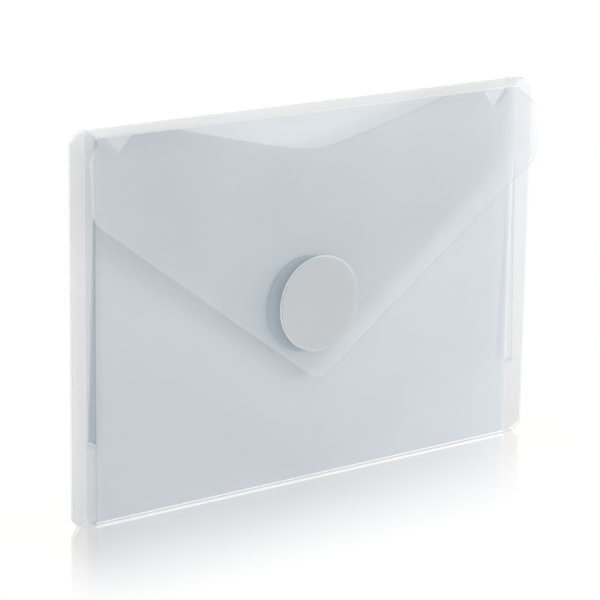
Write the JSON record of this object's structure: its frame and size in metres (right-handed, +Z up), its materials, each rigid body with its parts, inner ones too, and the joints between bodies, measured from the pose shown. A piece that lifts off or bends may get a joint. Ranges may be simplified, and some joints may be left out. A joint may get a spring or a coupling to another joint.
{
  "type": "portfolio case",
  "caption": "Small frosted plastic portfolio wallet with gusseted sides, a scored spine and a V-shaped flap held shut by a round hook-and-loop closure.",
  "frame": {"origin": "bottom centre of the closed wallet's box, on the surface that it stands on", "axes": "+X along the width, +Y from the flap side to the back panel, +Z up towards the flap's fold"},
  "size_m": [0.1666, 0.0108, 0.1124],
  "materials": {
    "panel_sheet": "frosted translucent",
    "gusset_sheet": "frosted translucent",
    "fold_web": "stress-whitened translucent",
    "hook_coin": "fine moulded hooks",
    "loop_coin": "brushed loop pile",
    "adhesive": "clear film"
  },
  "bodies": {
    "pocket_back": {"back_panel": "panel_sheet", "bottom_spine": "panel_sheet", "bottom_front_hinge": "fold_web", "bottom_rear_hinge": "fold_web", "top_rear_hinge": "fold_web", "left_gusset_rear_leg": "gusset_sheet", "right_gusset_rear_leg": "gusset_sheet", "left_gusset_rear_hinge": "fold_web", "right_gusset_rear_hinge": "fold_web", "left_gusset_crease_hinge": "fold_web", "right_gusset_crease_hinge": "fold_web"},
    "pocket_front": {"front_panel": "panel_sheet", "left_side_tab": "panel_sheet", "right_side_tab": "panel_sheet", "left_gusset_front_leg": "gusset_sheet", "right_gusset_front_leg": "gusset_sheet", "left_gusset_front_hinge_low": "fold_web", "right_gusset_front_hinge_low": "fold_web", "left_gusset_front_hinge_high": "fold_web", "right_gusset_front_hinge_high": "fold_web", "loop_coin_adhesive": "adhesive", "loop_coin": "loop_coin"},
    "spine_strap": {"top_spine": "panel_sheet", "top_front_hinge": "fold_web"},
    "flap_leaf": {"flap": "panel_sheet", "hook_coin_adhesive": "adhesive", "hook_coin": "hook_coin"}
  },
  "joints": [
    {"name": "spine_fold", "type": "hinge", "parent": "pocket_back", "child": "spine_strap", "pos_m": [0, 0.00515, 0.11215], "axis": [-1, 0, 0], "range_deg": [0, 170]},
    {"name": "flap_fold", "type": "hinge", "parent": "spine_strap", "child": "flap_leaf", "pos_m": [0, -0.00075, 0.111], "axis": [-1, 0, 0], "range_deg": [0, 170]},
    {"name": "pocket_mouth", "type": "hinge", "parent": "pocket_back", "child": "pocket_front", "pos_m": [0, 0.00025, 0.00025], "axis": [1, 0, 0], "range_deg": [0, 5]}
  ],
  "couplings": [
    {"joint": "pocket_mouth", "follows": "spine_fold", "ratio": 0.029412}
  ]
}
